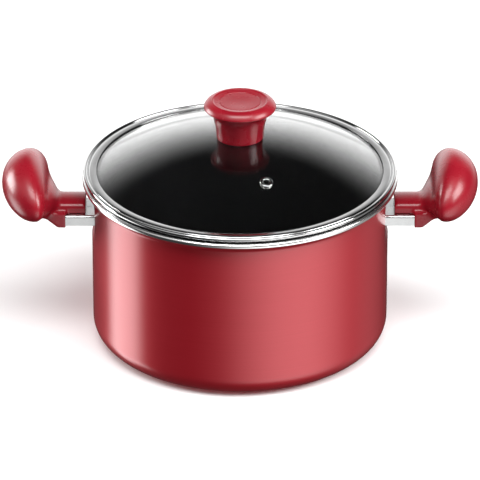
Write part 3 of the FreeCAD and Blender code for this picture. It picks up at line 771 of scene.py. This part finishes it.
def vent_axis():
    """Direction of the steam hole, square to the dome."""
    lean, turn = math.asin(VENT_REACH / DOME_RADIUS), math.radians(VENT_TURN)
    return Vector((math.sin(lean) * math.cos(turn), math.sin(lean) * math.sin(turn), math.cos(lean)))


def build_glass():
    """A dome that ends in a flat brim, with a hole for the knob's screw and one for the steam."""
    inner = DOME_RADIUS - GLASS_THICK
    ease = 0.6
    corners = [
        (GLASS_HOLE, sphere_height(inner, GLASS_HOLE), 0),
        (sphere_reach(inner, BRIM_LOW), BRIM_LOW, 0, inner, -1),
        (GLASS_EDGE - ease, BRIM_LOW, 0),
        (GLASS_EDGE, BRIM_LOW + ease, 0, ease, 1),
        (GLASS_EDGE, BRIM_TOP - ease, 0),
        (GLASS_EDGE - ease, BRIM_TOP, 0, ease, 1),
        (sphere_reach(DOME_RADIUS, BRIM_TOP), BRIM_TOP, 0),
        (GLASS_HOLE, sphere_height(DOME_RADIUS, GLASS_HOLE), 0, DOME_RADIUS, 1),
    ]
    glass = turned("lid_dome", corners, "lid", [GLASS], step_degrees=0.6)
    axis = vent_axis()
    middle = Vector((0, 0, DOME_CENTRE)) + axis * (DOME_RADIUS - GLASS_THICK / 2)
    combine(glass, ("DIFFERENCE", rod(middle, axis, VENT_TUBE + 0.1, 16)))
    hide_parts("lid_glass")


BAND_WEB = BEAD_OUTER - 4.0
BAND_SHEET = 0.6
BAND_LIP = BEAD_OUTER - 10.6
BEAD_ROUND = 1.7
BEAD_NECK = 1.0
BEAD_HEIGHT = high("lid_band").z - BEAD_ROUND


def build_band():
    """A ring bent from sheet: a foot under the glass, an upright with a rolled bead, a lip on the glass."""
    bead = BEAD_OUTER - BEAD_ROUND
    fold, edge = 0.9, 0.3
    foot_start = BAND_LIP + 0.8
    neck = bead - math.sqrt(BEAD_ROUND ** 2 - BEAD_NECK ** 2)
    lip_low = BRIM_TOP + 0.5
    under_glass = BAND_LOW + BAND_SHEET
    inner_web = BAND_WEB - BAND_SHEET - 0.1
    corners = [
        (foot_start, BAND_LOW, 0),
        (BAND_WEB - fold, BAND_LOW, 0),
        (BAND_WEB, BAND_LOW + fold, 0, fold, 1),
        (BAND_WEB, BEAD_HEIGHT - BEAD_NECK - 0.3, 0),
        (neck, BEAD_HEIGHT - BEAD_NECK, 0, 0.7, -1),
        (bead, BEAD_HEIGHT - BEAD_ROUND, 0, BEAD_ROUND, 1),
        (BEAD_OUTER, BEAD_HEIGHT, 0, BEAD_ROUND, 1),
        (bead, BEAD_HEIGHT + BEAD_ROUND, 0, BEAD_ROUND, 1),
        (neck, BEAD_HEIGHT + BEAD_NECK, 0, BEAD_ROUND, 1),
        (neck - 0.55, BEAD_HEIGHT + BEAD_NECK - 0.45, 0, 0.5, -1),
        (neck - 1.2, BEAD_HEIGHT + BEAD_NECK - 0.15, 0, 0.5, -1),
        (neck - 2.4, lip_low + BAND_SHEET + 0.12, 0, 2.6, 1),
        (BAND_LIP + edge, lip_low + BAND_SHEET, 0, 30.0, 1),
        (BAND_LIP, lip_low + edge, 0, edge, 1),
        (BAND_LIP + edge, lip_low, 0, edge, 1),
        (inner_web, lip_low, 0),
        (inner_web, under_glass, 0),
        (foot_start, under_glass, 0),
        (foot_start, BAND_LOW, 0, 0.31, 1),
    ]
    band = turned("lid_ring", corners, "lid", [BAND_STEEL], step_degrees=12, sharp=60)
    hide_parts("lid_band")


def build_vent():
    """An eyelet whose tube lines the steam hole, with a flange above the glass and one below."""
    sheet, bore, flange = 0.7, 2.9, 5.6
    under = -GLASS_THICK - 0.1
    over = 0.02
    corners = [
        (bore, under - sheet, 0),
        (flange - sheet, under - sheet, 0),
        (flange - sheet, under, 0, 0.36, 1),
        (VENT_TUBE, under, 0),
        (VENT_TUBE, over, 0),
        (flange - 0.1, over, 0),
        (flange - sheet, over + sheet, 0, sheet, 1),
        (bore + sheet, over + sheet, 0),
        (bore, over, 0, sheet, 1),
    ]
    axis = vent_axis()
    turn = np.array(axis.to_track_quat("Z", "Y").to_matrix())
    centre = np.array(axis) * DOME_RADIUS + (0, 0, DOME_CENTRE)
    eyelet = turned("vent_ring", corners, "lid", [VENT_STEEL], around=64, step_degrees=15,
                    bend=lambda vertices: vertices @ turn.T + centre)
    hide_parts("vent_eyelet")


KNOB_NECK = 19.5
KNOB_WAIST = 21.9
SEAT_TOP = high("knob_seat").z
SEAT_RADIUS = high("knob_seat").x
SOCKET = high("knob_insert").x + 0.1
SOCKET_TOP = high("knob_insert").z + 0.1


def build_knob():
    """A waisted neck under a wide flange, whose dished top has a ring groove."""
    dish, groove = 22.0, 17.2
    brow, floor = KNOB_TOP - 0.5, KNOB_TOP - 1.0
    corners = [
        (SOCKET, SEAT_TOP, 0),
        (SEAT_RADIUS + 0.1, SEAT_TOP, 0),
        (SEAT_RADIUS + 0.1, KNOB_LOW, 0),
        (KNOB_NECK - 0.5, KNOB_LOW, 0),
        (KNOB_NECK, KNOB_LOW + 0.5, 0, 0.5, 1),
        (KNOB_WAIST, KNOB_TOP - 16.5, 0, 60.0, -1),
        (KNOB_RADIUS - 0.9, KNOB_TOP - 7.0, 0, 10.5, -1),
        (KNOB_RADIUS, KNOB_TOP - 6.1, 0, 0.9, 1),
        (KNOB_RADIUS - 0.6, KNOB_TOP - 4.5, 0, 3.0, 1),
        (dish + 1.6, brow, 0, 7.6, 1),
        (dish, brow, 0, 1.4, 1),
        (dish - 1.2, floor, 0, 1.6, -1),
        (groove + 0.6, floor - 0.45, 0, 180.0, -1),
        (groove + 0.2, floor - 0.75, 0, 0.5, 1),
        (groove - 0.5, floor - 0.8, 0, 0.5, -1),
        (groove - 0.9, floor - 0.62, 0, 0.5, 1),
        (0, floor - 1.35, 0, 180.0, -1),
        (0, SOCKET_TOP, 0),
        (SOCKET, SOCKET_TOP, 0),
    ]
    knob = turned("knob_body", corners, "lid", [RED], around=160, step_degrees=6, sharp=50)
    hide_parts("knob")


build_pot()
build_grips()
for side, sign in SIDES.items():
    build_bracket(side, sign)
build_glass()
build_band()
build_vent()
build_knob()


# ---------------------------------------------------------------- stage, light and camera
def build_stage():
    """A pale floor that the camera sees and shadows fall on. The glows take its place in reflections."""
    floor_finish = Finish("floor_paint", Roughness=0.9, Specular_IOR_Level=0.1)
    mottle = floor_finish.noise(floor_finish.scaled(1, 1, 1), 3.0, 2.0)
    floor_finish.feed("Base Color", floor_finish.blend(mottle, (0.86, 0.86, 0.86), (0.88, 0.88, 0.88)))
    reach, under = 30.0, -0.0001
    corners = [(x * reach, y * reach, under) for x, y in ((-1, -1), (1, -1), (1, 1), (-1, 1))]
    mesh = bpy.data.meshes.new("floor")
    mesh.from_pydata(corners, [], [(0, 1, 2, 3)])
    mesh.materials.append(floor_finish.material)
    floor = bpy.data.objects.new("floor", mesh)
    bpy.context.scene.collection.objects.link(floor)
    floor.visible_diffuse = floor.visible_glossy = floor.visible_shadow = False


LIGHT_AIM = Vector((0, 0, 0.09))
LIGHT_DISTANCE = 2.6


def soft_box(name, azimuth, elevation, size, power):
    """A rectangular area light that faces the pot. Azimuth 0 is in front, 90 to the right."""
    data = bpy.data.lights.new(name, "AREA")
    data.shape = "RECTANGLE"
    data.size, data.size_y = size
    data.energy = power
    light = bpy.data.objects.new(name, data)
    a, e = math.radians(azimuth), math.radians(elevation)
    away = Vector((math.sin(a) * math.cos(e), -math.cos(a) * math.cos(e), math.sin(e)))
    light.location = LIGHT_AIM + away * LIGHT_DISTANCE
    light.rotation_mode = "QUATERNION"
    light.rotation_quaternion = away.to_track_quat("Z", "Y")
    light.visible_camera = False
    bpy.context.scene.collection.objects.link(light)


# Soft glows of the studio, in degrees: azimuth, as for a soft box; the angles from it at which the glow
# starts to fade and is gone; the elevations at which it starts, is full, starts to fade and is gone. The last
# number is its radiance.
GLOWS = (
    (180, 20, 54, -20, -4, 8, 40, 1.9),
    (0, 60, 115, 18, 42, 92, 93, 0.9),
    (-103, 9, 26, -50, -36, -20, -4, 4.0),
    (40, 5, 62, -62, -40, -12, 6, 2.2),
    (-8, 5, 32, -62, -40, -12, 6, 0.2),
    (95, 10, 60, -62, -40, -12, 6, 0.3),
)
# The rest of the studio is dim, and eases from one level to the other between these elevations.
HORIZON = (-10, 10)
DIM_BELOW, DIM_ABOVE = 0.04, 0.02


def build_world():
    """A dim studio with soft glows. The first glow is the backdrop behind the pot, which fades upwards."""
    world = bpy.data.worlds.new("studio")
    world.use_nodes = True
    nodes, links = world.node_tree.nodes, world.node_tree.links
    direction = nodes.new("ShaderNodeTexCoord").outputs["Generated"]

    def vector_step(operation, source, constant=None):
        node = nodes.new("ShaderNodeVectorMath")
        node.operation = operation
        links.new(source, node.inputs[0])
        if constant is not None:
            node.inputs[1].default_value = constant
        return node.outputs["Value" if operation == "DOT_PRODUCT" else "Vector"]

    def math_step(operation, *sources):
        node = nodes.new("ShaderNodeMath")
        node.operation = operation
        for source, socket in zip(sources, node.inputs):
            links.new(source, socket)
        return node.outputs[0]

    def eased(source, start, stop, at_start, at_stop):
        """Runs smoothly between two values as an angle runs between two others, in degrees."""
        return map_range(world.node_tree, source, math.radians(start), math.radians(stop), at_start, at_stop,
                         "SMOOTHSTEP")

    level = vector_step("NORMALIZE", vector_step("MULTIPLY", direction, (1, 1, 0)))
    height = math_step("ARCSINE", vector_step("DOT_PRODUCT", direction, (0, 0, 1)))
    total = eased(height, *HORIZON, DIM_BELOW, DIM_ABOVE)
    for azimuth, full, dark, low_dark, low_full, high_full, high_dark, radiance in GLOWS:
        turn = math.radians(azimuth)
        toward = vector_step("DOT_PRODUCT", level, (math.sin(turn), -math.cos(turn), 0))
        across = eased(math_step("ARCCOSINE", toward), full, dark, radiance, 0)
        bottom = eased(height, low_dark, low_full, 0, 1)
        top = eased(height, high_full, high_dark, 1, 0)
        glow = math_step("MULTIPLY", across, math_step("MULTIPLY", bottom, top))
        total = math_step("ADD", total, glow)
    nodes["Background"].inputs["Color"].default_value = (1, 1, 1, 1)
    links.new(total, nodes["Background"].inputs["Strength"])
    bpy.context.scene.world = world


def build_light():
    build_world()
    soft_box("overhead", 0, 64, (2.4, 1.2), 68)
    soft_box("right_high", 72, 32, (1.4, 1.2), 62)
    soft_box("left_low", -112, 10, (1.2, 1.2), 66)


CAMERA_LENS = 369.0
CAMERA_ELEVATION = 27.0
CAMERA_DISTANCE = 4.1
CAMERA_AIM = Vector((0, 0, 0.0844))


def build_camera():
    data = bpy.data.cameras.new("camera")
    data.lens = CAMERA_LENS
    data.sensor_width = 36.0
    data.clip_end = 100.0
    camera = bpy.data.objects.new("camera", data)
    elevation = math.radians(CAMERA_ELEVATION)
    away = Vector((0, -math.cos(elevation), math.sin(elevation)))
    camera.location = CAMERA_AIM + away * CAMERA_DISTANCE
    camera.rotation_mode = "QUATERNION"
    camera.rotation_quaternion = away.to_track_quat("Z", "Y")
    bpy.context.scene.collection.objects.link(camera)
    bpy.context.scene.camera = camera


build_stage()
build_light()
build_camera()
bpy.context.scene.view_settings.view_transform = "Standard"
